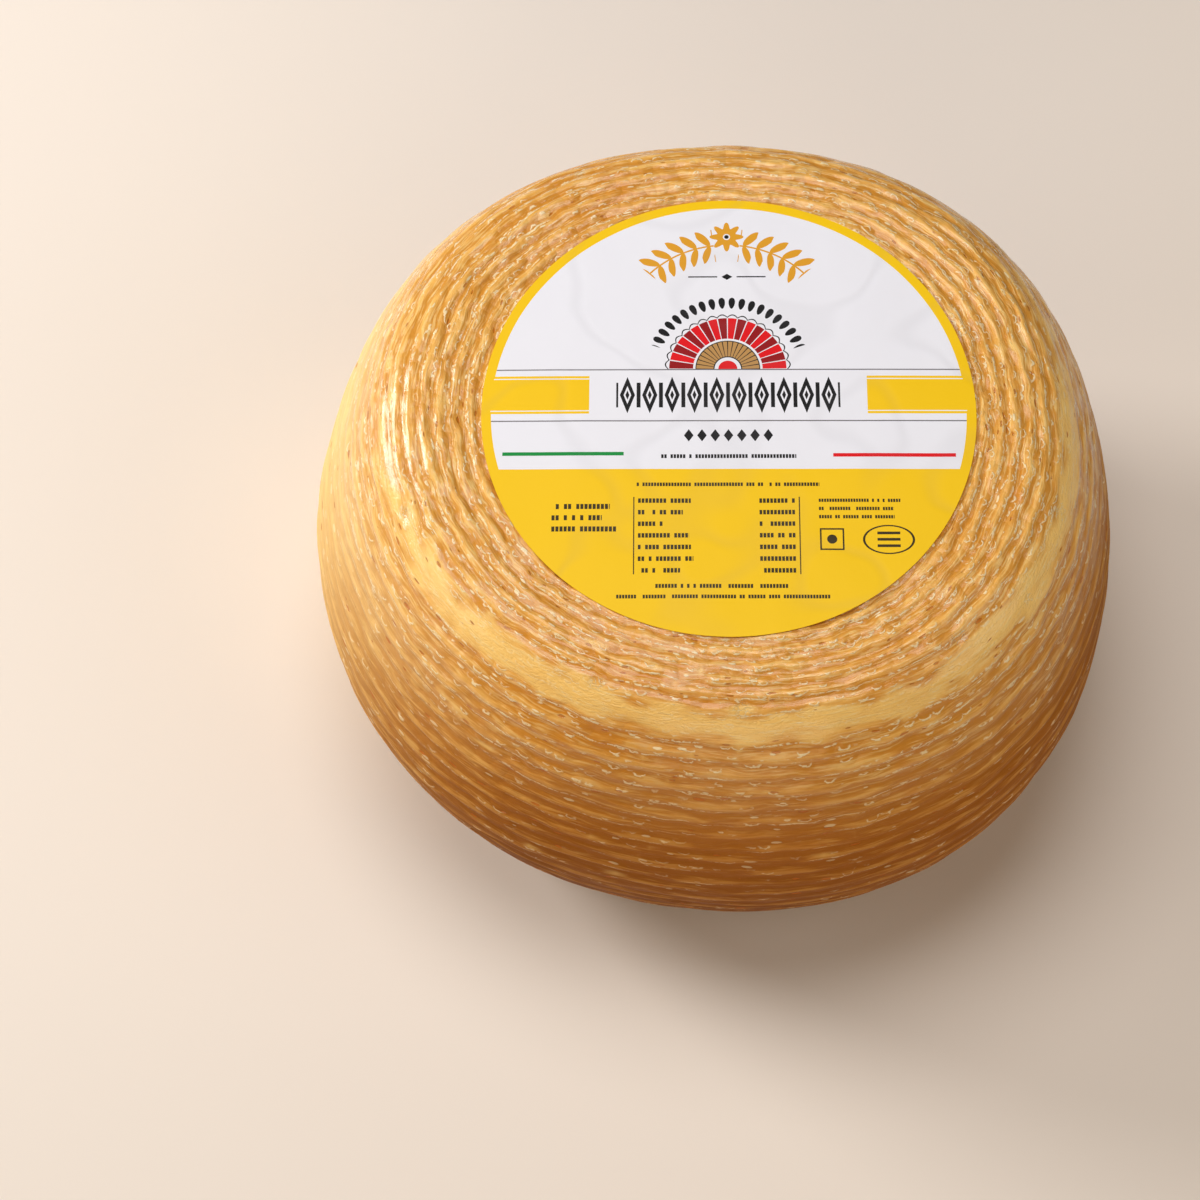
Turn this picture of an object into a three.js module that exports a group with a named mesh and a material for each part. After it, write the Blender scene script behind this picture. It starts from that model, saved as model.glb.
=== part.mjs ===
// A whole wheel of basket-moulded cheese, lying flat, with a round paper label on its upper face.
// Millimetres, +Z up. The origin is the middle of the underside; the label reads along +X.
import * as THREE from 'three';

// Wheel: the bulging outline is a rounded-square arc above and below the widest plane
const wheelRadius = 127;
const wheelHeight = 150;
const widestHeight = 75; // of the widest plane, above the underside
// Rise of each half's full, uncut arc, its exponents, and how softly it rolls into the flat
const upper = { rise: 91.7, wallFlatness: 5.33, crownFlatness: 1.52, rounding: 9 };
const lower = { rise: 88, wallFlatness: 4.4, crownFlatness: 1.6, rounding: 6 };
const bodyCentre = [0.8, 0.7]; // the cheese settled askew: middle of its lower half
const faceCentre = [4.4, 6.7]; // and of its face, which the ridges run round
const lobes = [ // how far the rim stands out of round, and towards which heading in degrees
  { count: 2, height: 3.5, heading: -15.6 },
  { count: 3, height: 1.2, heading: 44.7 },
  { count: 4, height: 1.4, heading: 44.3 },
];

// Ridges left by the basket
const plateauRadius = 67; // smooth middle of the face, below the label
const footRadius = 78; // smooth middle of the underside
const facePitch = 4.75;
const wallPitch = 6.1;
const faceDepth = 1.2; // groove depth outside the label
const wallDepth = 1; // groove depth on the wall
const footDepth = 0.8; // groove depth on the underside
const stakePairs = 18; // the weave repeats once for every two stakes of the basket
const weaveSway = 0.9; // neighbouring ridges lean towards each other by this
const weaveDepth = 0.5; // a ridge is this much lower where it passes behind a stake
const bandPlace = 37; // smooth band on the rolled shoulder, this far out from the plateau's edge
const bandWidth = 9;
const bandRelief = 0.15; // share of the groove depth that is left there

// Label
const labelRadius = 75;
const labelThickness = 0.4;
const labelGap = 0.3;

const steps = 72; // facets round the wheel
const traceSteps = 6000; // fineness of the traced outline
const labelSteps = 96;

const rindMaterial = new THREE.MeshStandardMaterial({ color: 0xdba24b, roughness: 0.4, metalness: 0 });
const paperMaterial = new THREE.MeshStandardMaterial({ color: 0xf2c92c, roughness: 0.45, metalness: 0 });

// Height rolled softly into the flat face and underside
function rolledHeight(height) {
  const underFace = THREE.MathUtils.clamp(0.5 + (wheelHeight - height) / (2 * upper.rounding), 0, 1);
  const topped = THREE.MathUtils.lerp(wheelHeight, height, underFace);
  const rolled = topped - upper.rounding * underFace * (1 - underFace);
  const overFoot = THREE.MathUtils.clamp(0.5 + rolled / (2 * lower.rounding), 0, 1);
  return rolled * overFoot + lower.rounding * overFoot * (1 - overFoot);
}

// The outline at a turn from -90 degrees (underside) to 90 degrees (face)
function arcPoint(turn) {
  const half = turn > 0 ? upper : lower;
  const radius = wheelRadius * Math.cos(turn) ** (2 / half.wallFlatness);
  const rise = half.rise * Math.abs(Math.sin(turn)) ** (2 / half.crownFlatness);
  return { radius, height: rolledHeight(widestHeight + Math.sign(turn) * rise) };
}

// Ridges passed at a distance along the outline: finer on the face than on the wall
function ridgesTo(length) {
  const bandEnd = bandPlace + bandWidth / 2;
  return Math.min(length, bandEnd) / facePitch + Math.max(length - bandEnd, 0) / wallPitch;
}

// The outline from the face's plateau, over the shoulder and down the wall to the foot's edge,
// as points that carry their distance along the outline and the direction out of the cheese
function traceOutline() {
  const trace = [];
  let length = 0;
  for (let i = 1; i < traceSteps; i += 1) {
    const turn = Math.PI * (0.5 - i / traceSteps);
    const point = arcPoint(turn);
    const inner = turn > 0 ? plateauRadius : footRadius;
    if (point.radius >= inner) {
      const last = trace.at(-1);
      length += last ? Math.hypot(point.radius - last.radius, point.height - last.height) : 0;
      trace.push({ ...point, length, upper: turn > 0 });
    }
  }
  trace.forEach((point, i) => {
    const before = trace[Math.max(i - 1, 0)];
    const after = trace[Math.min(i + 1, trace.length - 1)];
    const slope = new THREE.Vector2(before.height - after.height, after.radius - before.radius);
    point.outward = slope.normalize();
  });
  return trace;
}

// Groove depth at a place on the outline: deepest on the face, nearly nothing on the shoulder band
function grooveDepth(point) {
  const edgeDepth = point.upper ? faceDepth : footDepth;
  const bandRadius = plateauRadius + bandPlace;
  const towardsWall = THREE.MathUtils.smoothstep(point.radius, bandRadius, wheelRadius);
  const depth = THREE.MathUtils.lerp(edgeDepth, wallDepth, towardsWall);
  const offBand = THREE.MathUtils.smoothstep(Math.abs(point.length - bandPlace), 0, bandWidth / 2);
  return depth * THREE.MathUtils.lerp(bandRelief, 1, offBand);
}

// Crest and groove lines in turn, evenly spaced from ridge to ridge
function ridgeLines(trace) {
  const total = ridgesTo(trace.at(-1).length);
  const count = 2 * Math.round(total);
  const lines = [];
  let cursor = 0;
  for (let i = 0; i <= count; i += 1) {
    while (cursor < trace.length - 1 && ridgesTo(trace[cursor].length) < (i * total) / count) {
      cursor += 1;
    }
    lines.push({ ...trace[cursor], crest: i % 2 === 0, side: i % 4 === 0 ? 1 : -1, end: i === 0 || i === count });
  }
  return lines;
}

// One point of a ridge line at a heading, with the weave, the lobes and the lean worked in
function carvedPoint(line, heading) {
  const weave = line.end ? 0 : line.side * Math.cos(stakePairs * heading);
  const depth = grooveDepth(line);
  const relief = depth / faceDepth;
  const sunk = line.crest ? weaveDepth * relief * (0.5 - 0.5 * weave) : depth;
  const inset = line.end ? 0 : sunk;
  const sway = line.crest ? weaveSway * relief * weave : 0;
  const lobeHeight = lobes.reduce((sum, lobe) => {
    const angle = lobe.count * (heading - THREE.MathUtils.degToRad(lobe.heading));
    return sum + lobe.height * Math.cos(angle);
  }, 0);
  const round = line.radius - inset * line.outward.x + sway * line.outward.y;
  const radius = round * (1 + lobeHeight / wheelRadius);
  const height = line.height - inset * line.outward.y - sway * line.outward.x;
  const lean = THREE.MathUtils.clamp((line.height - widestHeight) / (wheelHeight - widestHeight), 0, 1);
  return new THREE.Vector3(
    radius * Math.cos(heading) + THREE.MathUtils.lerp(bodyCentre[0], faceCentre[0], lean),
    radius * Math.sin(heading) + THREE.MathUtils.lerp(bodyCentre[1], faceCentre[1], lean),
    THREE.MathUtils.clamp(height, 0, wheelHeight),
  );
}

function makeWheel() {
  const lines = ridgeLines(traceOutline()).reverse();
  const profile = [
    new THREE.Vector2(0, 0),
    ...lines.map((line) => new THREE.Vector2(line.radius, line.height)),
    new THREE.Vector2(0, wheelHeight),
  ];
  const geometry = new THREE.LatheGeometry(profile, steps);
  geometry.rotateX(Math.PI / 2);
  const position = geometry.attributes.position;
  for (let step = 0; step <= steps; step += 1) {
    const heading = (2 * Math.PI * (step % steps)) / steps - Math.PI / 2;
    lines.forEach((line, row) => {
      const point = carvedPoint(line, heading);
      position.setXYZ(step * profile.length + row + 1, point.x, point.y, point.z);
    });
  }
  geometry.computeVertexNormals();
  const mesh = new THREE.Mesh(geometry, rindMaterial);
  mesh.name = 'cheese_wheel';
  return mesh;
}

function makeLabel() {
  const geometry = new THREE.CylinderGeometry(labelRadius, labelRadius, labelThickness, labelSteps);
  geometry.rotateX(Math.PI / 2);
  const mesh = new THREE.Mesh(geometry, paperMaterial);
  mesh.name = 'label';
  mesh.position.set(...faceCentre, wheelHeight + labelGap + labelThickness / 2);
  return mesh;
}

const cheese = new THREE.Group();
cheese.add(makeWheel(), makeLabel());

export default cheese;
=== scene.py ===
import bisect
import functools
import math

import bmesh
import bpy
from mathutils import Matrix, Vector, noise


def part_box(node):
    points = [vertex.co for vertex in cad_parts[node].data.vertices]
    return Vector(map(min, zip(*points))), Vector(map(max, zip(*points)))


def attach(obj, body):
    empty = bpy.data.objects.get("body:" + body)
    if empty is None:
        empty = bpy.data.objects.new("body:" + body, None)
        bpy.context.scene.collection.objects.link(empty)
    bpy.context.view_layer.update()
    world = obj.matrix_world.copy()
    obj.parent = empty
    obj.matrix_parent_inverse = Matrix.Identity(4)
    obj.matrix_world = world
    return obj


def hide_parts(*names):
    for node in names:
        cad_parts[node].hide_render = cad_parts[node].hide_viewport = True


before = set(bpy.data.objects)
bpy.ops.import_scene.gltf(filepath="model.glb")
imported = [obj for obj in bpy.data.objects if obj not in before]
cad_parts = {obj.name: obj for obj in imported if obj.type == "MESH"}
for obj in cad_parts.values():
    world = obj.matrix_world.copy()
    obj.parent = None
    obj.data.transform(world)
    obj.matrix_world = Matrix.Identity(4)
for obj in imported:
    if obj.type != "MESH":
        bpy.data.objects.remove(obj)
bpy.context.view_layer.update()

mm = 0.001
degree = math.pi / 180
fullTurn = 2 * math.pi
tiny = 1e-6        # far less than the gap between two points
wheelLow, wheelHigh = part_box("cheese_wheel")
labelLow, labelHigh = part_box("label")
labelMiddle = (labelLow + labelHigh) / 2
wheelHeight = (wheelHigh.z - wheelLow.z) / mm
labelRadius = (labelHigh.x - labelLow.x) / 2 / mm


def clamp(x, low=0, high=1):
    return min(max(x, low), high)


def smooth(edge0, edge1, x):
    t = clamp((x - edge0) / (edge1 - edge0))
    return t * t * (3 - 2 * t)


def blend(a, b, share):        # for numbers and sockets alike
    return a + (b - a) * share


def clearSelection():
    if bpy.context.object and bpy.context.object.mode == "EDIT":
        bpy.ops.object.mode_set(mode="OBJECT")
    bpy.ops.object.select_all(action="DESELECT")


def linear(red, green, blue):        # an sRGB colour as eight-bit numbers, made linear
    parts = [c / 255 for c in (red, green, blue)]
    return [c / 12.92 if c <= 0.04045 else ((c + 0.055) / 1.055) ** 2.4 for c in parts] + [1]


class Socket:        # a node's output that takes part in sums
    def __init__(self, paint, link):
        self.paint = paint
        self.link = link

    def sum(self, operation, *values):
        return self.paint.add("ShaderNodeMath", {"operation": operation}, values)

    def __add__(self, other):
        return self.sum("ADD", self, other)

    def __radd__(self, other):
        return self.sum("ADD", other, self)

    def __sub__(self, other):
        return self.sum("SUBTRACT", self, other)

    def __rsub__(self, other):
        return self.sum("SUBTRACT", other, self)

    def __mul__(self, other):
        return self.sum("MULTIPLY", self, other)

    def __rmul__(self, other):
        return self.sum("MULTIPLY", other, self)

    def __truediv__(self, other):
        return self.sum("DIVIDE", self, other)

    def __gt__(self, other):
        return self.sum("GREATER_THAN", self, other)

    def __lt__(self, other):
        return self.sum("LESS_THAN", self, other)

    def __abs__(self):
        return self.sum("ABSOLUTE", self)

    def __or__(self, other):        # either mask
        return self.sum("MAXIMUM", self, other)

    def __and__(self, other):        # both masks
        return self.sum("MULTIPLY", self, other)

    def of(self, operation, *others):
        return self.sum(operation, self, *others)

    def other(self, out):        # another output of the same node
        return Socket(self.paint, self.link.node.outputs[out])


class Paint:        # a material and the one method that adds its nodes
    def __init__(self, name):
        self.material = bpy.data.materials.new(name)
        self.material.use_nodes = True
        self.tree = self.material.node_tree
        self.tree.nodes.clear()

    def add(self, kind, settings=None, values=(), out=None):
        node = self.tree.nodes.new(kind)
        for name, setting in (settings or {}).items():
            setattr(node, name, setting)
        pairs = values.items() if isinstance(values, dict) else enumerate(values)
        sockets = {s.identifier: s for s in node.inputs}
        for key, value in pairs:
            socket = node.inputs[key] if isinstance(key, int) else sockets[key]
            if isinstance(value, Socket):
                self.tree.links.new(value.link, socket)
            else:
                socket.default_value = value
        if not node.outputs:
            return None
        outs = {s.identifier: s for s in node.outputs}
        return Socket(self, outs[out] if out else next(s for s in node.outputs if s.enabled))

    def mix(self, share, colourA, colourB):
        values = {"Factor_Float": share, "A_Color": colourA, "B_Color": colourB}
        return self.add("ShaderNodeMix", {"data_type": "RGBA"}, values, out="Result_Color")

    def noise(self, vector, scale, detail=2, roughness=0.5):
        values = {"Vector": vector, "Scale": scale, "Detail": detail, "Roughness": roughness}
        return self.add("ShaderNodeTexNoise", None, values)

    def ramp(self, value, low, high):        # 0 to 1 as the value goes from low to high
        values = {"Value": value, "From Min": low, "From Max": high}
        return self.add("ShaderNodeMapRange", {"interpolation_type": "SMOOTHSTEP"}, values)

    def split(self, vector):        # into its three numbers
        x = self.add("ShaderNodeSeparateXYZ", None, [vector], out="X")
        return x, x.other("Y"), x.other("Z")

    def finish(self, shader):
        self.add("ShaderNodeOutputMaterial", None, {"Surface": shader})
        return self.material


wheel = {        # millimetres
    "radius": 127,
    "widest": 75,        # height of the widest plane
    "upper": {"rise": 91.7, "wallFlatness": 5.33, "crownFlatness": 1.52, "rounding": 9},
    "lower": {"rise": 88, "wallFlatness": 4.4, "crownFlatness": 1.6, "rounding": 6},
    "bodyCentre": (0.8, 0.7),        # the cheese settled askew: middle of its lower half
    "faceCentre": (4.4, 6.7),        # and of its face, which the ridges run round
    "lobes": ((2, 3.5, -15.6), (3, 1.2, 44.7), (4, 1.4, 44.3)),        # count, height, heading in degrees
    "plateau": 67,        # radius of the smooth middle of the face, below the label
    "footRadius": 96,        # the rows are coarse inside this radius underneath
    "traceSteps": 6000,        # fineness of the traced outline
    "labelRows": 4,        # rows of faces below the label
    "faceRows": 110,        # from there to the end of the smooth band
    "wallRows": 262,        # down the wall to the foot
    "footRows": 18,        # and underneath
    "steps": 244,        # faces in a row
    "swell": 0.55,        # height of the broad lumps
    "swellStart": (0, 6),        # they grow over this stretch from the plateau's edge
}
basket = {        # the woven mould that left the ridges, in millimetres
    "facePitch": 4.75,        # from ridge to ridge
    "wallPitch": 6.1,
    "stakePairs": 18,        # each ridge swells once for every two stakes, its neighbours in between
    "shallowest": 0.001,        # millimetres of ridge depth
    "swellMiddle": 0.55,        # a ridge's usual swelling, and how much the weave changes it
    "swellSpread": 0.75,
    "troughSpread": 0.9,        # below 1 the troughs are wider than the ridges
    "sunk": 0.5,        # how far a ridge sinks between its swellings, as a share of the depth
    "lip": 0.26,        # from a ridge's middle to its outer lip, where a highlight is painted, as a share of the pitch
    "faceDepth": 0.6,        # from crest to trough
    "wallDepth": 0.62,
    "footDepth": 0.4,
    "faceStart": (-1.5, 3),        # the ridges rise over this stretch from the plateau's edge
    "footStart": (70, 84),        # and between these radii underneath
    "bandPlace": 38,        # middle of the smooth band on the shoulder, from the plateau's edge
    "bandWidth": 11.5,
    "bandEdge": (0.3, 1.5),        # the band ends between these shares of half its width
    "bandRelief": 0.18,        # share of the depth that is left on it
    "bandFront": -75,        # heading where it is smoothest
    "bandFade": (0.15, 0.75),
    "bandBack": 0.35,        # how smooth it is at the back
    "nicks": ((-162, 35, 4), (-88, 33, 4), (-114, 33, 3.5), (-17.5, 37, 4), (-34, 39, 3), (-48, 31, 3.5),
              (28, 35, 4), (71, 36, 3.5), (118, 34, 4), (153, 37, 3)),        # heading, place, reach
    "nickDepth": 0.5,
}
uneven = {        # strength, changes along and across the ridges, place in the noise
    "drift": (0.8, 4, 0.04, 3),        # millimetres that a ridge strays from its line
    "waver": (0.9, 15, 0.2, 8),
    "weaveDrift": (1.6, 3, 0.08, 21),        # the same for its swellings, in radians
    "weaveWaver": (1.1, 9, 0.35, 33),
    "bandDrift": (1.6, 4, 0, 91),        # and for the smooth band, in millimetres
    "bandEdge": (0.5, 9, 0.2, 97),        # shares of half the band's width
    "depth": (0.9, 14, 0.3, 47),        # share by which a ridge is deeper or shallower
    "lumps": (1, 2.5, 0.03, 60),
    "dents": (0.5, 8, 0.08, 71),
}


def rolled(height):        # softly into the flat face and underside
    top, foot = wheel["upper"]["rounding"], wheel["lower"]["rounding"]
    share = clamp(0.5 + (wheelHeight - height) / (2 * top))
    height = blend(wheelHeight, height, share) - top * share * (1 - share)
    share = clamp(0.5 + height / (2 * foot))
    return height * share + foot * share * (1 - share)


def traceOutline():        # radius, height and distance along the outline, from pole to pole
    trace = [(0, wheelHeight)]
    count = wheel["traceSteps"]
    for i in range(1, count):
        turn = math.pi * (0.5 - i / count)
        half = wheel["upper"] if turn > 0 else wheel["lower"]
        radius = wheel["radius"] * math.cos(turn) ** (2 / half["wallFlatness"])
        rise = half["rise"] * abs(math.sin(turn)) ** (2 / half["crownFlatness"])
        trace.append((radius, rolled(wheel["widest"] + math.copysign(rise, turn))))
    trace.append((0, 0))
    places = [0]
    for (r0, z0), (r1, z1) in zip(trace, trace[1:]):
        places.append(places[-1] + math.hypot(r1 - r0, z1 - z0))
    start = places[next(i for i, (r, z) in enumerate(trace) if r >= wheel["plateau"])]
    return trace, [place - start for place in places]


outline, outlinePlaces = traceOutline()


def outlinePoint(place):
    i = clamp(bisect.bisect_left(outlinePlaces, place), 1, len(outline) - 1)
    share = (place - outlinePlaces[i - 1]) / max(outlinePlaces[i] - outlinePlaces[i - 1], tiny)
    (r0, z0), (r1, z1) = outline[i - 1], outline[i]
    return blend(r0, r1, share), blend(z0, z1, share)


def outlineNormal(place, reach=1.5):        # smoothed over this many millimetres each way
    r0, z0 = outlinePoint(place - reach)
    r1, z1 = outlinePoint(place + reach)
    return Vector((z0 - z1, r1 - r0)).normalized()


def rowPlaces():        # fine rows on the face and wall, coarse ones below the label and underneath
    bandEnd = basket["bandPlace"] + basket["bandWidth"] / 2
    underneath = [place for place, (r, z) in zip(outlinePlaces, outline)
                  if z < wheel["widest"] and r < wheel["footRadius"]]
    ends = (outlinePlaces[0], basket["faceStart"][0], bandEnd, underneath[0], outlinePlaces[-1])
    counts = (wheel["labelRows"], wheel["faceRows"], wheel["wallRows"], wheel["footRows"])
    places = []
    for low, high, count in zip(ends, ends[1:], counts):
        places += [blend(low, high, i / count) for i in range(count)]
    return places + [outlinePlaces[-1]]


def ridgesTo(place):        # ridges passed, and their pitch there
    bandEnd = basket["bandPlace"] + basket["bandWidth"] / 2
    if place < bandEnd:
        return place / basket["facePitch"], basket["facePitch"]
    return bandEnd / basket["facePitch"] + (place - bandEnd) / basket["wallPitch"], basket["wallPitch"]


def lobeHeight(heading):
    return sum(h * math.cos(n * (heading - where * degree)) for n, h, where in wheel["lobes"])


def stray(name, place, heading):        # a slow, seeded unevenness, stretched along the ridges
    strength, along, across, seed = uneven[name]
    spot = Vector((math.cos(heading) * along, math.sin(heading) * along, place * across + seed))
    return strength * noise.noise(spot)


@functools.lru_cache(None)
def rowShape(place):        # what is the same all round a row
    radius, height = outlinePoint(place)
    upper = height > wheel["widest"]
    edge = basket["faceDepth"] if upper else basket["footDepth"]
    bandRadius = wheel["plateau"] + basket["bandPlace"]
    depth = blend(edge, basket["wallDepth"], smooth(bandRadius, wheel["radius"], radius))
    depth *= smooth(*basket["faceStart"], place)
    depth *= 1 if upper else smooth(*basket["footStart"], radius)
    return radius, height, outlineNormal(place), max(depth, basket["shallowest"])


def nickAt(place, heading, radius):        # 0 to 1 round the places where the band's skin broke
    most = 0
    for where, middle, reach in basket["nicks"]:
        along = (heading - where * degree + math.pi) % fullTurn - math.pi
        far = math.hypot(along * radius, place - middle) / reach
        most = max(most, 1 - far)
    return smooth(0, 1, most)


def bandAt(place, heading):        # 1 on the smooth band at the front, less beside it and at the back
    offMiddle = abs(place - basket["bandPlace"] + stray("bandDrift", place, heading))
    off = offMiddle / (basket["bandWidth"] / 2) + stray("bandEdge", place, heading)
    front = smooth(*basket["bandFade"], 0.5 + 0.5 * math.cos(heading - basket["bandFront"] * degree))
    return (1 - smooth(*basket["bandEdge"], off)) * blend(basket["bandBack"], 1, front)


def ridgeAt(place, heading, depth):        # its number and pitch, the weave over it, and its depth
    row, pitch = ridgesTo(place)
    row += (stray("drift", place, heading) + stray("waver", place, heading)) / pitch
    turn = basket["stakePairs"] * heading + stray("weaveDrift", place, heading)
    turn += stray("weaveWaver", place, heading)
    depth *= 1 - (1 - basket["bandRelief"]) * bandAt(place, heading)
    depth *= 1 + stray("depth", place, heading)
    return row, pitch, math.cos(turn), depth


def pressedIn(row, over, depth):        # how far the basket pressed the rind in
    trough = (0.5 - 0.5 * math.cos(row * fullTurn)) ** basket["troughSpread"]
    swelling = clamp(basket["swellMiddle"] + basket["swellSpread"] * over * (-1) ** round(row)) ** 0.5
    return depth * (trough + basket["sunk"] * (1 - swelling) * (1 - trough))


def carvedPoint(place, heading):        # its spot, and what the material reads there
    radius, height, normal, depth = rowShape(place)
    row, pitch, over, depth = ridgeAt(place, heading, depth)
    nick = nickAt(place, heading, radius)
    lump = stray("lumps", place, heading) + stray("dents", place, heading)
    rise = wheel["swell"] * lump * smooth(*wheel["swellStart"], place)
    rise -= pressedIn(row, over, depth) + basket["nickDepth"] * nick
    lean = clamp((height - wheel["widest"]) / (wheelHeight - wheel["widest"]))
    radius = (radius + rise * normal.x) * (1 + lobeHeight(heading) / wheel["radius"])
    height = clamp(height + rise * normal.y, 0, wheelHeight)
    x = radius * math.cos(heading) + blend(wheel["bodyCentre"][0], wheel["faceCentre"][0], lean)
    y = radius * math.sin(heading) + blend(wheel["bodyCentre"][1], wheel["faceCentre"][1], lean)
    return (x, y, height), (math.cos(heading), math.sin(heading), row), (over, depth, pitch), nick


def spinOutline():        # a half-ring of points, placed on the outline and spun round
    clearSelection()
    places = rowPlaces()
    bpy.ops.mesh.primitive_circle_add(vertices=2 * (len(places) - 1), radius=wheelHeight / 2 * mm,
                                      location=(0, 0, 0), rotation=(math.pi / 2, 0, 0))
    piece = bpy.context.object
    piece.name = "wheel_rind"
    bpy.ops.object.transform_apply(location=False, rotation=True, scale=False)
    bpy.ops.object.mode_set(mode="EDIT")
    bpy.ops.mesh.select_all(action="DESELECT")
    shape = bmesh.from_edit_mesh(piece.data)
    for vert in shape.verts:
        vert.select = vert.co.x < -tiny
    shape.select_flush_mode()
    bpy.ops.mesh.delete(type="VERT")
    shape = bmesh.from_edit_mesh(piece.data)
    across = shape.verts.layers.float.new("across")        # the spin copies it to every step
    for vert, place in zip(sorted(shape.verts, key=lambda v: -v.co.z), places):
        radius, height = outlinePoint(place)
        vert.co = Vector((radius, 0, height)) * mm
        vert[across] = place
    bmesh.update_edit_mesh(piece.data)
    bpy.ops.mesh.select_all(action="SELECT")
    bpy.ops.mesh.spin(steps=wheel["steps"], angle=fullTurn, center=(0, 0, 0), axis=(0, 0, 1))
    bpy.ops.mesh.select_all(action="SELECT")
    bpy.ops.mesh.remove_doubles(threshold=0.02 * mm)        # the seam and the two poles
    bpy.ops.mesh.normals_make_consistent(inside=False)
    bpy.ops.object.mode_set(mode="OBJECT")
    return piece


def makeWheel():
    piece = spinOutline()
    carve(piece)
    bpy.ops.object.shade_smooth()
    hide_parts("cheese_wheel")
    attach(piece, "root")
    piece.data.materials.clear()
    piece.data.materials.append(rindMaterial())


def carve(piece):        # works the ridges, the lobes and the lean into the spun outline
    mesh = piece.data
    places = [0.0] * len(mesh.vertices)
    mesh.attributes["across"].data.foreach_get("value", places)
    rings, weaves, nicks = [], [], []
    for vert, place in zip(mesh.vertices, places):
        heading = math.atan2(vert.co.y, vert.co.x)
        spot, ring, weave, nick = carvedPoint(place, heading)
        if vert.co.xy.length > tiny:        # the poles stay on the axis
            vert.co = Vector(spot) * mm
        rings += ring
        weaves += weave
        nicks.append(nick)
    mesh.attributes.new("ring", "FLOAT_VECTOR", "POINT").data.foreach_set("vector", rings)
    mesh.attributes.new("weave", "FLOAT_VECTOR", "POINT").data.foreach_set("vector", weaves)
    mesh.attributes.new("nick", "FLOAT", "POINT").data.foreach_set("value", nicks)
    mesh.attributes.remove(mesh.attributes["across"])
    mesh.update()


rind = {
    "trough": linear(215, 146, 56),
    "pad": linear(246, 188, 98),
    # painted highlight: the cream of the curls, lips, small lumps and creases
    "paintedHighlight": linear(255, 238, 194),
    # painted reflection: pale streaks along the ridges
    "paintedReflection": linear(252, 222, 152),
    # painted light: the brightly lit left side of the wall
    "paintedLitSide": linear(255, 232, 164),
    "band": linear(255, 208, 120),
    "pit": linear(196, 104, 22),
    "amber": linear(206, 122, 28),
    # painted shade: the darker wall towards the front
    "paintedFrontShade": linear(168, 97, 5),
    # painted shade at the bottom of the front wall
    "foot": linear(108, 56, 0),
}
rindGrain = {        # changes of a pattern round the wheel and across a ridge, or in a metre
    "scales": (24, 1.7),
    "pits": (15, 2.8),
    "streaks": (12, 8),
    "wrinkles": (44, 5),
    "patches": 14,
    "blotches": 60,
    "beads": 700,
}
rindZones = {        # metres, over which the finish and the painted light and shade of a part of the wheel fade in
    "upper": (0.1, 0.14),        # heights, from the wall to the shoulder and the face
    "front": (-0.1, 0.09),        # towards the front, where shade is painted on the wall
    "left": (0.02, 0.1),
    "right": (0.02, 0.1),
    "paintedLitSideTop": (0.115, 0.148),        # heights where the painted light and shade on the wall end
    "paintedFrontShadeTop": (0.09, 0.15),
    "footShadeTop": (0.03, 0.11),
}
rindCuts = {        # values of a pattern, over which a mark fades in
    "ridged": (0.08, 0.38),        # millimetres of ridge depth
    "swelling": (0, 1),
    "curlStart": (0.26, 0.34),        # a thin ring round the scale's middle
    "curlEnd": (0.38, 0.46),
    "curlSide": (0, 0.2),
    "curlChance": (0.4, 0.55),
    "lip": (0.1, 0.3),        # millimetres from the lip's line
    "lipBlotches": (0.46, 0.52),
    "lipBeads": (0.36, 0.5),
    "curlCrest": (0.1, 0.6),
    "pits": (-0.03, 0.05),
    "glints": (-0.02, 0.04),
    "creases": (0.01, 0.04),
    "nick": (0.1, 0.4),
    "tone": (-0.1, 0.9),
    "paintedReflection": (0.5, 0.66),
    "patches": (0.42, 0.75),
    "blotches": (0.54, 0.8),
    "threads": (0.2, 0.9),
}
rindCover = {        # how much of a tint shows: on the wall and higher up, or on the band and on ridges
    "tone": (0.45, 0.85),
    "paintedReflection": (0.1, 0.5),
    "curlsAndPaintedHighlights": (0.5, 0.8),
    "glints": (0.4, 0.8),
    "curlsOnBand": (0.3, 1),
    "glintsOnBand": (0.35, 1),
    "stainsOnBand": (0.3, 1),
    "paintedFrontShadeOnBand": (0.3, 1),
    "patches": 0.4,
    "blotches": 0.5,
    # share of the painted light on the left of the wall
    "paintedLitSide": 0.55,
    "threads": 0.42,        # taken off the painted shade along the crests and streaks
    "footShadeRight": 0.6,        # and off the painted shade at the foot, at the right
    "footShadeMarks": 0.4,        # and on curls
    "pits": 0.75,
    "creases": 0.5,
}
rindRelief = {        # millimetres
    "scales": 0.45,
    "curlsAndPaintedHighlights": 0.1,
    "glints": 0.12,
    "pits": 0.25,
    "creases": 0.15,
    "streaks": 0.25,
    "beads": 0.06,
    "wrinkles": (0.7, 0.2),        # on the band and on ridges
    "wrinkleTop": 0.12,        # they are cut off here
}


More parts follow.
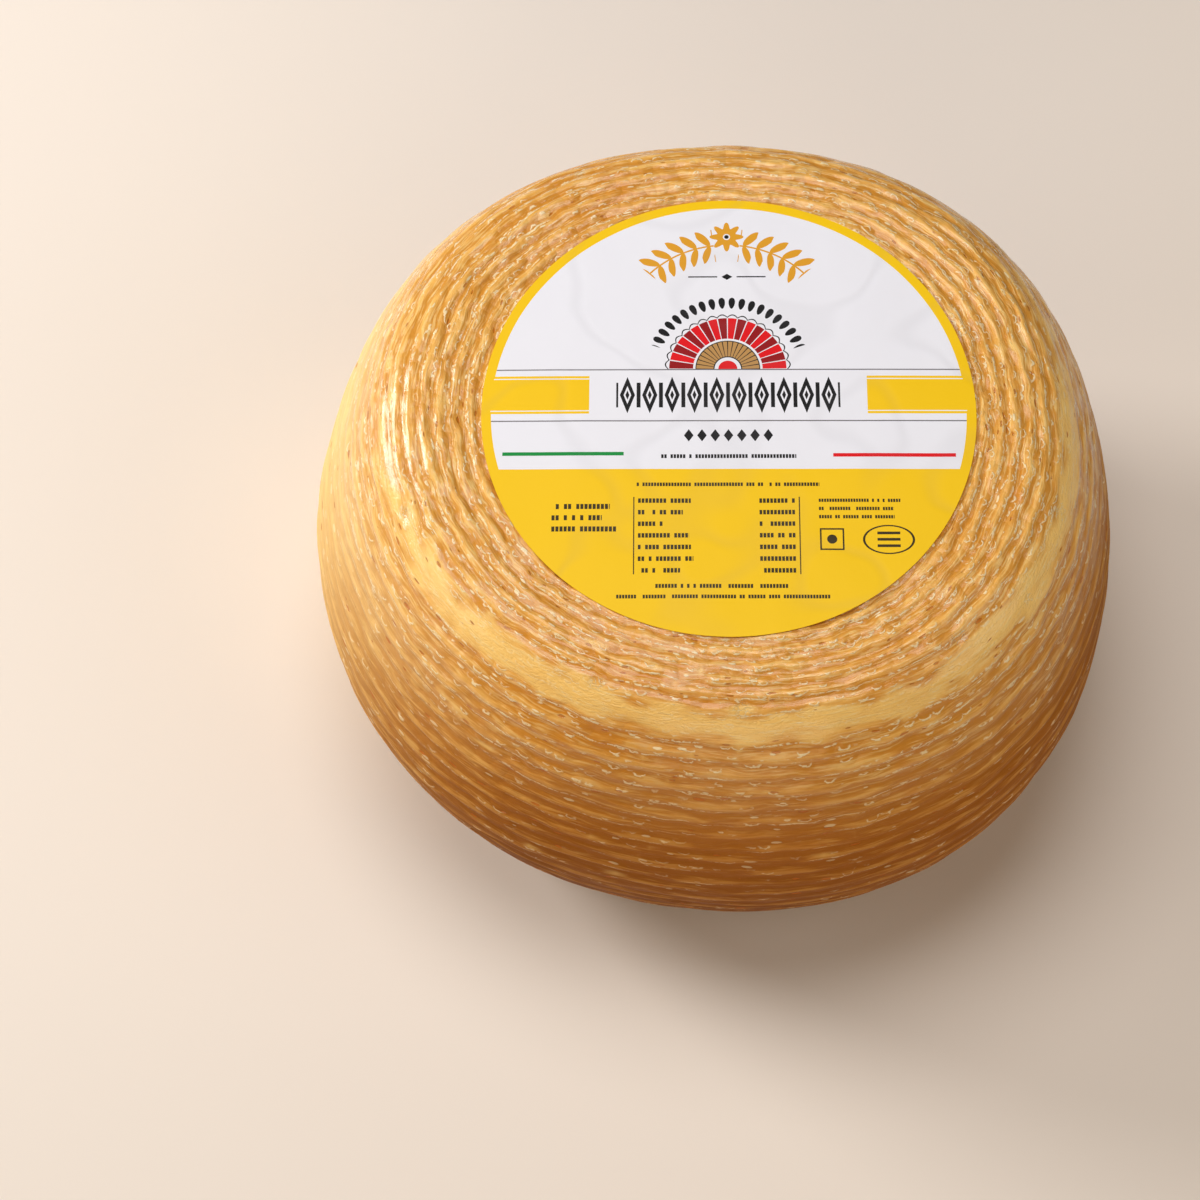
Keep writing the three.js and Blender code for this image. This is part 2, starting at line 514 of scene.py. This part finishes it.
class RindPaint(Paint):        # knows the carved mesh's ridges and the sides of the wheel
    def __init__(self):
        super().__init__("oiled_rind")
        self.place = self.add("ShaderNodeTexCoord", out="Object")
        x, y, self.height = self.split(self.place)
        self.ring = self.read("ring", "Vector")
        self.row = self.split(self.ring)[2]
        over, depth, self.pitch = self.split(self.read("weave", "Vector"))
        self.ridged = self.ramp(depth, *rindCuts["ridged"])
        self.nicked = self.ramp(self.read("nick", "Fac"), *rindCuts["nick"])
        self.upper = self.ramp(self.height, *rindZones["upper"])
        self.front = self.ramp(x * 0.5 - y, *rindZones["front"])
        self.left = (1 - self.front) * self.ramp(-1 * x, *rindZones["left"])
        self.right = self.ramp(x, *rindZones["right"])
        self.patches = self.noise(self.place, rindGrain["patches"])
        self.blotches = self.noise(self.place, rindGrain["blotches"], 2, 0.6)
        self.beads = self.noise(self.place, rindGrain["beads"], 1, 0.6)
        self.streaks = self.noise(self.ringSpot("streaks"), 1, 2, 0.6)
        self.speck = self.beads - 0.5
        self.streak = self.streaks - 0.5
        # the basket's imprint again, as sharp as the picture
        self.line = (self.row + 0.5).of("FLOOR")        # number of the nearest ridge
        swelling = 0.55 + 0.6 * over * (self.line * math.pi).of("COSINE")
        swollen = blend(0.4, 1, self.ramp(swelling, *rindCuts["swelling"]))
        self.crest = (0.5 + 0.5 * (self.row * fullTurn).of("COSINE")) * swollen
        # crests and streaks, where the painted shade on the wall is lighter
        lines = self.ramp(self.crest + self.streak * 2, *rindCuts["threads"])
        self.threads = 1 - rindCover["threads"] * lines

    def read(self, name, out):        # one of the mesh's own values
        return self.add("ShaderNodeAttribute", {"attribute_name": name}, out=out)

    def ringSpot(self, name):        # long along the ridges, short across them
        along, across = rindGrain[name]
        scale = {"operation": "MULTIPLY"}
        return self.add("ShaderNodeVectorMath", scale, [self.ring, (along, along, across)], out="Vector")

    def cells(self, name):        # distance from a cell's middle, its lot, and the way out across the ridge
        spot = self.ringSpot(name)
        values = {"Vector": spot, "Scale": 1}
        far = self.add("ShaderNodeTexVoronoi", {"feature": "F1"}, values, out="Distance")
        lot = self.add("ShaderNodeSeparateColor", None, [far.other("Color")], out="Red")
        difference = {"operation": "SUBTRACT"}
        away = self.add("ShaderNodeVectorMath", difference, [spot, far.other("Position")], out="Vector")
        return far, lot, self.split(away)[2]


def curdScales(paint):        # short scales along the ridges, some with a raised curl on the outer side; the curls and the outer lips carry a painted highlight
    far, lot, out = paint.cells("scales")
    rim = far + paint.speck * 0.3 + paint.streak * 0.5
    curlsAndPaintedHighlights = paint.ramp(rim, *rindCuts["curlStart"]) * (1 - paint.ramp(rim, *rindCuts["curlEnd"]))
    curlsAndPaintedHighlights = curlsAndPaintedHighlights * paint.ramp(out, *rindCuts["curlSide"])
    curlsAndPaintedHighlights = curlsAndPaintedHighlights * paint.ramp(lot + 0.25 * paint.upper, *rindCuts["curlChance"])
    offLip = (paint.row - paint.line - basket["lip"]) * paint.pitch + paint.speck * 0.9 + paint.streak * 1.5
    paintedLipHighlights = 1 - paint.ramp(abs(offLip), *rindCuts["lip"])
    paintedLipHighlights = paintedLipHighlights * paint.ramp(paint.blotches, *rindCuts["lipBlotches"])
    paintedLipHighlights = paintedLipHighlights * paint.ramp(paint.beads, *rindCuts["lipBeads"])
    onCrest = paint.ramp(paint.crest + 0.6 * paint.upper, *rindCuts["curlCrest"])
    curlsAndPaintedHighlights = (curlsAndPaintedHighlights | paintedLipHighlights) * blend(*rindCover["curlsOnBand"], paint.ridged) * onCrest
    return (1 - far) * paint.ridged, curlsAndPaintedHighlights


def curdPits(paint):        # dark pits, and small raised lumps with a painted highlight
    far, lot = paint.cells("pits")[:2]
    pits = paint.ramp((lot - 0.5) * 0.45 + paint.speck * 0.16 - far, *rindCuts["pits"])
    glints = paint.ramp(0.24 - lot * 0.4 - far + paint.speck * 0.1, *rindCuts["glints"])
    return pits, glints * blend(*rindCover["glintsOnBand"], paint.ridged)


def ridgeColour(paint):
    tone = paint.crest * blend(*rindCover["tone"], paint.upper) + paint.streak * 2
    colour = paint.mix(paint.ramp(tone, *rindCuts["tone"]), rind["trough"], rind["pad"])
    colour = paint.mix(1 - paint.ridged, colour, rind["band"])
    # painted reflection in streaks, stronger higher up
    paintedReflection = paint.ramp(paint.streaks, *rindCuts["paintedReflection"]) * blend(*rindCover["paintedReflection"], paint.upper)
    colour = paint.mix(paintedReflection, colour, rind["paintedReflection"])
    stains = paint.ramp(paint.patches, *rindCuts["patches"]) * rindCover["patches"]
    stains = stains | paint.ramp(paint.blotches, *rindCuts["blotches"]) * rindCover["blotches"]
    return paint.mix(stains * blend(*rindCover["stainsOnBand"], paint.ridged), colour, rind["amber"])


def paintedWallLightAndShade(paint, colour):        # painted light makes the wall paler on the left, painted shade makes it darker towards the front
    # painted light on the left of the wall, below the shoulder
    paintedLitSide = (1 - paint.ramp(paint.height, *rindZones["paintedLitSideTop"])) * paint.left * rindCover["paintedLitSide"]
    colour = paint.mix(paintedLitSide, colour, rind["paintedLitSide"])
    # painted shade: darker towards the front, less on the crests
    paintedFrontShade = (1 - paint.ramp(paint.height, *rindZones["paintedFrontShadeTop"])) * paint.front * paint.threads
    return paint.mix(paintedFrontShade * blend(*rindCover["paintedFrontShadeOnBand"], paint.ridged), colour, rind["paintedFrontShade"])


def paintedFootShade(paint, colour, marks):        # painted shade: brown at the bottom of the front, less so on the marks
    foot = (1 - paint.ramp(paint.height, *rindZones["footShadeTop"])) * paint.front
    foot = foot * (1 - rindCover["footShadeRight"] * paint.right) * paint.threads
    return paint.mix(foot * (1 - rindCover["footShadeMarks"] * marks), colour, rind["foot"])


def rindMaterial():
    paint = RindPaint()
    scales, curlsAndPaintedHighlights = curdScales(paint)
    pits, glints = curdPits(paint)
    wrinkles = abs(paint.noise(paint.ringSpot("wrinkles"), 1, 1) - 0.5)
    creases = (1 - paint.ramp(wrinkles, *rindCuts["creases"])) * paint.nicked

    colour = paintedWallLightAndShade(paint, ridgeColour(paint))
    # painted highlight on the raised curls and along the lips
    colour = paint.mix(curlsAndPaintedHighlights * blend(*rindCover["curlsAndPaintedHighlights"], paint.upper), colour, rind["paintedHighlight"])
    # painted highlight on the small raised lumps
    colour = paint.mix(glints * blend(*rindCover["glints"], paint.upper), colour, rind["paintedHighlight"])
    colour = paintedFootShade(paint, colour, curlsAndPaintedHighlights | glints)
    colour = paint.mix(pits * rindCover["pits"], colour, rind["pit"])
    # painted highlight along the raised creases of the nicks
    colour = paint.mix(creases * rindCover["creases"], colour, rind["paintedHighlight"])

    relief = scales * rindRelief["scales"] + curlsAndPaintedHighlights * rindRelief["curlsAndPaintedHighlights"] + glints * rindRelief["glints"]
    relief = relief - pits * rindRelief["pits"] + creases * rindRelief["creases"]
    relief = relief + paint.streaks * rindRelief["streaks"] + paint.beads * rindRelief["beads"]
    low = wrinkles.of("MINIMUM", rindRelief["wrinkleTop"])
    relief = relief + low * blend(*rindRelief["wrinkles"], paint.ridged)
    bump = paint.add("ShaderNodeBump", None, {"Strength": 1, "Distance": mm, "Height": relief})
    shader = paint.add("ShaderNodeBsdfPrincipled", None, {
        "Base Color": colour,
        "Roughness": blend(0.7, 0.2, paint.upper),        # oiled above, nearly dry below
        "IOR": 1.4,
        "Specular IOR Level": 0.35,
        "Coat Weight": paint.upper * blend(0.1, 0.44, paint.ridged | paint.front),
        "Coat Roughness": 0.12,
        "Normal": bump,
    })
    return paint.finish(shader)


label = {        # millimetres
    "sides": 192,
    "rings": 26,
    "thickness": 0.2,
    "lift": 0.1,        # of the flat middle, above the node's lower side
    "droop": 0.3,        # how far the rim bends down to the face
    "lowest": -0.24,
    "waves": ((0.1, 0.06, 5), (0.04, 0.2, 9)),        # height, changes in a millimetre, place in the noise
    "rimWave": (0.16, 0.05, 14),
}


def paperWave(x, y, height, scale, seed):
    return height * noise.noise(Vector((x * scale, y * scale, seed)))


def labelHeight(x, y):        # above the node's lower side
    bend = (math.hypot(x, y) / labelRadius) ** 4
    wave = sum(paperWave(x, y, *one) for one in label["waves"])
    rim = paperWave(x, y, *label["rimWave"]) * bend
    return max(label["lift"] - label["droop"] * bend + wave + rim, label["lowest"])


def makeLabel():
    clearSelection()
    middle = (labelMiddle.x, labelMiddle.y, labelLow.z)
    bpy.ops.mesh.primitive_circle_add(vertices=label["sides"], radius=labelRadius * mm, location=middle)
    piece = bpy.context.object
    piece.name = "label_paper"
    bpy.ops.object.transform_apply(location=True)
    bpy.ops.object.mode_set(mode="EDIT")
    bpy.ops.mesh.select_all(action="SELECT")
    for ring in range(label["rings"], 1, -1):
        bpy.ops.mesh.extrude_edges_move()
        shrink = (ring - 1) / ring
        bpy.ops.transform.resize(value=(shrink, shrink, 1), center_override=middle)
    bpy.ops.mesh.extrude_edges_move()
    bpy.ops.mesh.merge(type="CENTER")
    bpy.ops.mesh.select_all(action="SELECT")
    bpy.ops.mesh.normals_make_consistent(inside=False)
    bpy.ops.object.mode_set(mode="OBJECT")
    if piece.data.polygons[0].normal.z < 0:
        piece.data.flip_normals()
    for vert in piece.data.vertices:
        x, y = (vert.co.x - labelMiddle.x) / mm, (vert.co.y - labelMiddle.y) / mm
        vert.co.z = labelLow.z + labelHeight(x, y) * mm
    bpy.ops.object.modifier_add(type="SOLIDIFY")
    solid = piece.modifiers[-1]
    solid.thickness = label["thickness"] * mm
    solid.offset = 1
    bpy.ops.object.modifier_apply(modifier=solid.name)
    bpy.ops.object.shade_smooth_by_angle(angle=40 * degree)
    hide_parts("label")
    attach(piece, "root")
    piece.data.materials.clear()
    piece.data.materials.append(labelMaterial())


inks = {
    "yellow": linear(250, 203, 10),
    "white": linear(240, 240, 249),
    "green": linear(0, 142, 60),
    "red": linear(228, 6, 20),
    "black": linear(18, 17, 20),
    "grey": linear(120, 116, 122),
    "text": linear(58, 46, 14),
    "gold": linear(226, 160, 40),
    "darkRed": linear(150, 6, 14),
    "tan": linear(190, 144, 84),
}
fields = {        # millimetres from the label's middle; heights are (low, high)
    "rim": 72,        # radius of the white paper, inside the yellow rim
    "whiteFrom": -20,
    "panelsFrom": 42.2,        # yellow panels at both sides
    "panelsTo": 72.2,
    "panels": (-1.1, 11.9),
    "panelLines": ((10.75, 11.1), (-0.3, 0.05)),
    "rules": ((13.9, 14.3), (-3.8, -3.4)),
    "green": (-68.2, -31.6, -15.4, -14.2),        # left, right, low, high
    "red": (31.4, 68.2, -15.9, -14.7),
}
sprig = {        # an arch of golden leaves
    "middle": 25.5,
    "radius": 33,
    "leafPitch": 4.3,
    "leafWidth": 1.35,
    "leafLength": 2.9,
    "leafPlace": 3,        # from the stem to the leaf's middle
    "stem": 0.28,
    "from": 4,        # distances along the arch
    "to": 27,
}
flower = {        # over the arch
    "middle": 61.5,
    "petals": 8,
    "petalMiddle": 4.2,
    "petalDepth": 1.1,
    "eye": 1.1,
    "dot": 0.7,
}
knot = {        # a small lozenge between two lines, below the arch
    "middle": 47,
    "width": 1.7,
    "height": 1.1,
    "lines": (3, 12),
    "line": 0.22,
}
fan = {        # a half-round fan standing on the rule
    "foot": 14.3,
    "radius": 18.4,
    "scallop": 0.9,
    "inner": 10.6,
    "heart": 4.4,
    "blades": 18,
    "bladeGap": 0.18,
    "ribs": 0.3,
    "outline": 0.4,
    "rim": 0.5,
    "band": 0.7,        # widths of the rings round the middle
    "line": 0.3,
    "heartLine": 0.35,
    "heartRing": 1.5,
    "drops": 23.6,        # radius of an arch of drops over it
    "dropPitch": 3.1,
    "dropLength": 1.9,
    "dropPoint": 0.18,
    "dropsFrom": 8,
    "dropsTo": 66,
}
border = {        # tall lozenges between bars
    "reach": 34,
    "pitch": 6.8,
    "middle": 5.3,
    "height": 6.3,
    "lozenge": 2.3,
    "outlineFrom": 0.5,        # shares of the lozenge: its outline's inner edge, and its heart
    "heart": 0.26,
    "bar": 0.6,
    "barHeight": 0.68,        # share of the height
}
smallBorder = {"reach": 14, "pitch": 4, "middle": -8.6, "width": 1.45, "height": 2.1}
blackDashes = (-20.3, 20.3, -14.4, 1, 2.6, 1.3, 3, 0)
brownDashes = (        # left, right, top, rows, pitch, height of a dash, seed, how ragged the right end is
    (-28.5, 27, -23.9, 1, 2.6, 1.2, 11, 0),
    (-27.2, -8, -28.75, 7, 3.83, 1.5, 23, 14),
    (9, 19.8, -28.75, 7, 3.83, 1.5, 41, 0),
    (-53, -31, -30.7, 3, 3.72, 1.7, 57, 8),
    (26.7, 51.5, -29.2, 3, 2.72, 1.1, 71, 4),
    (-22, 18, -57.4, 1, 2.6, 1.3, 83, 0),
    (-33.5, 29.9, -60.8, 1, 2.6, 1.2, 97, 0),
)
dash = {"width": 0.72, "solid": 0.76, "gaps": 0.13}        # shares of its height, of its cell, and left out
columns = {"places": (-28.45, 20.9), "height": (-54.9, -29.4), "line": 0.17}
square = {"middle": (30.4, -43.4), "from": 3.1, "to": 3.6, "dot": 1.5}
oval = {"middle": (47.2, -43.5), "width": 7.7, "height": 4.8, "line": 0.91}
ovalBars = {"reach": 3.4, "from": -46.6, "pitch": 2.1, "line": 0.45, "height": 2.9}


def length(across, up):
    return (across * across + up * up).of("SQRT")


def angle(across, up):
    return up.of("ARCTAN2", across)


def between(value, low, high):
    return (value > low) & (value < high)


def repeat(value, pitch):        # distance from the middle of the cell it is in
    return ((value / pitch).of("FRACT") - 0.5) * pitch


def chance(value, seed):        # 0 to 1, fixed for each whole number
    return value.paint.add("ShaderNodeTexWhiteNoise", {"noise_dimensions": "1D"}, {"W": value + seed})


class LabelPaint(Paint):        # measures in millimetres from the label's middle
    def __init__(self):
        super().__init__("printed_label")
        self.place = self.add("ShaderNodeTexCoord", out="Object")
        x, y = self.split(self.place)[:2]
        self.x = (x - labelMiddle.x) / mm
        self.y = (y - labelMiddle.y) / mm
        self.wide = abs(self.x)
        self.radius = length(self.x, self.y)

    def bar(self, left, right, low, high):
        return between(self.x, left, right) & between(self.y, low, high)

    def dashes(self, left, right, top, rows, pitch, height, seed, ragged):
        down = top - self.y
        row = (down / pitch).of("FLOOR")
        inRow = between(down, 0, rows * pitch) & (abs(repeat(down, pitch)) < height / 2)
        end = right - chance(row, seed) * ragged
        spot = (self.x - left) / (height * dash["width"])
        kept = chance(spot.of("FLOOR") + row * 31, seed + 7) > dash["gaps"]
        return inRow & kept & (spot.of("FRACT") < dash["solid"]) & (self.x > left) & (end > self.x)


def paintFields(paint):        # a yellow rim and lower half, white paper, panels, rules and two coloured bars
    inRim = paint.radius < fields["rim"]
    colour = paint.mix(inRim & (paint.y > fields["whiteFrom"]), inks["yellow"], inks["white"])
    sides = (paint.wide > fields["panelsFrom"]) & (paint.radius < fields["panelsTo"])
    colour = paint.mix(sides & between(paint.y, *fields["panels"]), colour, inks["yellow"])
    upperLine, lowerLine = [between(paint.y, *line) for line in fields["panelLines"]]
    colour = paint.mix(sides & (upperLine | lowerLine), colour, inks["white"])
    upperRule, lowerRule = [between(paint.y, *rule) for rule in fields["rules"]]
    colour = paint.mix((upperRule | lowerRule) & inRim, colour, inks["grey"])
    colour = paint.mix(paint.bar(*fields["green"]), colour, inks["green"])
    return paint.mix(paint.bar(*fields["red"]), colour, inks["red"])


def paintSprig(paint, colour):
    rise = paint.y - sprig["middle"]
    along = angle(rise, paint.wide) * sprig["radius"]
    off = length(paint.x, rise) - sprig["radius"]
    leafAcross = repeat(along, sprig["leafPitch"]) - 0.5 * abs(off) + 1        # the leaves slant outwards
    leafUp = (abs(off) - sprig["leafPlace"]) / sprig["leafLength"]
    leaf = length(leafAcross / sprig["leafWidth"], leafUp) < 1
    stem = abs(off) < sprig["stem"]
    colour = paint.mix((leaf | stem) & between(along, sprig["from"], sprig["to"]), colour, inks["gold"])
    up = paint.y - flower["middle"]
    far = length(paint.x, up)
    wave = (angle(paint.x, up) * flower["petals"]).of("COSINE")
    petals = wave * flower["petalDepth"] + flower["petalMiddle"]
    colour = paint.mix((far < petals) & (far > flower["eye"]), colour, inks["gold"])
    colour = paint.mix(far < flower["dot"], colour, inks["black"])
    offLine = abs(paint.y - knot["middle"])
    lozenge = paint.wide / knot["width"] + offLine / knot["height"] < 1
    lines = between(paint.wide, *knot["lines"]) & (offLine < knot["line"])
    return paint.mix(lozenge | lines, colour, inks["black"])


def paintFan(paint, colour):
    up = paint.y - fan["foot"]
    span = length(paint.x, up)
    turn = angle(paint.x, up)
    along = turn * fan["drops"]
    out = span - fan["drops"]
    drop = length(repeat(along, fan["dropPitch"]), out / (fan["dropLength"] - fan["dropPoint"] * out)) < 1
    colour = paint.mix(drop & between(along, fan["dropsFrom"], fan["dropsTo"]), colour, inks["black"])
    blade = (turn * fan["blades"]).of("SINE")
    edge = fan["radius"] + abs(blade) * fan["scallop"]
    red = paint.mix(blade > 0, inks["darkRed"], inks["red"])
    clear = abs(blade) > fan["bladeGap"]
    inner, heart = fan["inner"], fan["heart"]
    rings = (        # each covers the last: how far out, what of it, and its colour
        (edge, None, inks["black"]),
        (edge - fan["outline"], None, inks["white"]),
        (fan["radius"] - fan["rim"], clear, red),
        (inner, None, inks["white"]),
        (inner - fan["band"], None, inks["black"]),
        (inner - fan["band"] - fan["line"], abs(blade) > fan["ribs"], inks["tan"]),
        (heart, None, inks["black"]),
        (heart - fan["heartLine"], None, inks["white"]),
        (heart - fan["heartRing"], None, inks["red"]),
    )
    for reach, part, ink in rings:
        ring = (up > 0) & (span < reach)
        colour = paint.mix(ring & part if part else ring, colour, ink)
    return colour


def paintBorders(paint, colour):
    cell = abs(repeat(paint.x + border["reach"], border["pitch"]))
    up = abs(paint.y - border["middle"])
    tall = cell / border["lozenge"] + up / border["height"]
    lozenges = between(tall, border["outlineFrom"], 1) | (tall < border["heart"])
    bars = (cell > border["pitch"] / 2 - border["bar"]) & (up < border["barHeight"] * border["height"])
    colour = paint.mix((lozenges | bars) & (paint.wide < border["reach"]), colour, inks["black"])
    cell = abs(repeat(paint.x + smallBorder["reach"], smallBorder["pitch"]))
    up = abs(paint.y - smallBorder["middle"])
    small = cell / smallBorder["width"] + up / smallBorder["height"] < 1
    return paint.mix(small & (paint.wide < smallBorder["reach"]), colour, inks["black"])


def paintDashes(paint, colour):        # rows of plain dashes, with column lines, a square and an oval
    colour = paint.mix(paint.dashes(*blackDashes), colour, inks["black"])
    brown = paint.dashes(*brownDashes[0])
    for block in brownDashes[1:]:
        brown = brown | paint.dashes(*block)
    for column in columns["places"]:
        brown = brown | (abs(paint.x - column) < columns["line"]) & between(paint.y, *columns["height"])
    across, up = paint.x - square["middle"][0], paint.y - square["middle"][1]
    outline = between(abs(across).of("MAXIMUM", abs(up)), square["from"], square["to"])
    brown = brown | outline | (length(across, up) < square["dot"])
    across, up = paint.x - oval["middle"][0], paint.y - oval["middle"][1]
    brown = brown | between(length(across / oval["width"], up / oval["height"]), oval["line"], 1)
    line = abs(repeat(paint.y - ovalBars["from"], ovalBars["pitch"])) < ovalBars["line"]
    brown = brown | (abs(across) < ovalBars["reach"]) & line & (abs(up) < ovalBars["height"])
    return paint.mix(brown, colour, inks["text"])


paper = {        # changes in a metre, and heights as shares of the bump
    "grain": 90,
    "folds": 26,
    "foldShade": 0.06,
    "foldHeight": 0.6,
    "bump": 0.0003,
}


def labelMaterial():
    paint = LabelPaint()
    colour = paintFields(paint)
    for step in (paintSprig, paintFan, paintBorders, paintDashes):
        colour = step(paint, colour)
    grain = paint.noise(paint.place, paper["grain"], 3)
    folds = paint.ramp(abs(paint.noise(paint.place, paper["folds"], 1) - 0.5), 0, 0.05)
    colour = paint.mix((1 - folds) * paper["foldShade"], colour, inks["grey"])
    relief = grain + folds * paper["foldHeight"]
    bump = paint.add("ShaderNodeBump", None, {"Strength": 0.3, "Distance": paper["bump"], "Height": relief})
    shader = paint.add("ShaderNodeBsdfPrincipled", None, {
        "Base Color": colour,
        "Roughness": 0.45,
        "IOR": 1.35,
        "Specular IOR Level": 0.35,
        "Normal": bump,
    })
    return paint.finish(shader)


stage = {
    "reach": 1.2,        # metres
    "sides": 180,
    "floor": linear(240, 229, 219),
    "mottle": linear(232, 219, 207),
    "mottleShare": 0.4,
    "mottleScale": 3,        # changes in a metre
    "sky": linear(226, 213, 202),
    "skySeen": 1,        # strength of the backdrop where it is looked at
    "skyLight": 0.01,        # and as a light
}


def makeStage():
    clearSelection()
    bpy.ops.mesh.primitive_circle_add(vertices=stage["sides"], radius=stage["reach"], fill_type="NGON",
                                      location=(0, 0, 0))
    floor = bpy.context.object
    floor.name = "floor"
    paint = Paint("pale_floor")
    place = paint.add("ShaderNodeTexCoord", out="Object")
    mottle = paint.noise(place, stage["mottleScale"])
    shader = paint.add("ShaderNodeBsdfPrincipled", None, {
        "Base Color": paint.mix(mottle * stage["mottleShare"], stage["floor"], stage["mottle"]),
        "Roughness": 0.8,
    })
    floor.data.materials.append(paint.finish(shader))
    world = bpy.data.worlds.new("studio")
    world.use_nodes = True
    backdrop = world.node_tree.nodes["Background"]
    backdrop.inputs["Color"].default_value = stage["sky"]
    seen = world.node_tree.nodes.new("ShaderNodeLightPath").outputs["Is Camera Ray"]
    strength = world.node_tree.nodes.new("ShaderNodeMapRange")
    strength.inputs["To Min"].default_value = stage["skyLight"]
    strength.inputs["To Max"].default_value = stage["skySeen"]
    world.node_tree.links.new(seen, strength.inputs["Value"])
    world.node_tree.links.new(strength.outputs["Result"], backdrop.inputs["Strength"])
    bpy.context.scene.world = world
    bpy.context.scene.view_settings.view_transform = "Standard"


lampAim = Vector((0, 0, 0.07))        # about the middle of the wheel
lampReach = 1.5        # metres
lamps = {        # headings and lifts in degrees, sizes in metres, powers in watts
    "key": {"heading": 157, "lift": 25, "size": 0.55, "power": 15.5, "colour": (1, 0.985, 0.96)},
    "side": {"heading": 192, "lift": 25, "size": 0.7, "power": 3, "colour": (1, 0.98, 0.95)},
    "top": {"heading": 120, "lift": 80, "size": 0.9, "power": 10.4, "colour": (1, 0.985, 0.97)},
    "fill": {"heading": -20, "lift": 40, "size": 1, "power": 3.8, "colour": (1, 0.95, 0.88)},
    "front": {"heading": -90, "lift": 22, "size": 1, "power": 5.7, "colour": (1, 0.8, 0.5)},
}


def makeLamp(name, lamp):
    clearSelection()
    heading, lift = lamp["heading"] * degree, lamp["lift"] * degree
    out = Vector((math.cos(lift) * math.cos(heading), math.cos(lift) * math.sin(heading), math.sin(lift)))
    bpy.ops.object.light_add(type="AREA", location=out * lampReach + lampAim)
    light = bpy.context.object
    light.name = name
    light.rotation_mode = "QUATERNION"
    light.rotation_quaternion = out.to_track_quat("Z", "Y")
    light.data.shape = "DISK"
    light.data.size = lamp["size"]
    light.data.energy = lamp["power"]
    light.data.color = lamp["colour"]


camera = {
    "place": (-14, -400.3, 898.3),        # millimetres
    "right": (0.99971, 0.01007, -0.02191),        # the picture's directions, in the wheel's frame
    "forward": (-0.02411, 0.41752, -0.90835),
    "lens": 84,
    "sensor": 36,
}


def makeCamera():
    clearSelection()
    bpy.ops.object.camera_add()
    view = bpy.context.object
    view.name = "camera"
    back = -Vector(camera["forward"]).normalized()
    right = Vector(camera["right"]).normalized()
    up = back.cross(right).normalized()
    turned = Matrix((right, up, back)).transposed().to_4x4()
    view.matrix_world = Matrix.Translation(Vector(camera["place"]) * mm) @ turned
    view.data.lens = camera["lens"]
    view.data.sensor_width = camera["sensor"]
    bpy.context.scene.camera = view


makeCamera()
print("camera ready")
makeWheel()
print("wheel carved")
makeLabel()
print("label printed")
makeStage()
for name, lamp in lamps.items():
    makeLamp(name, lamp)
print("stage and lights ready")
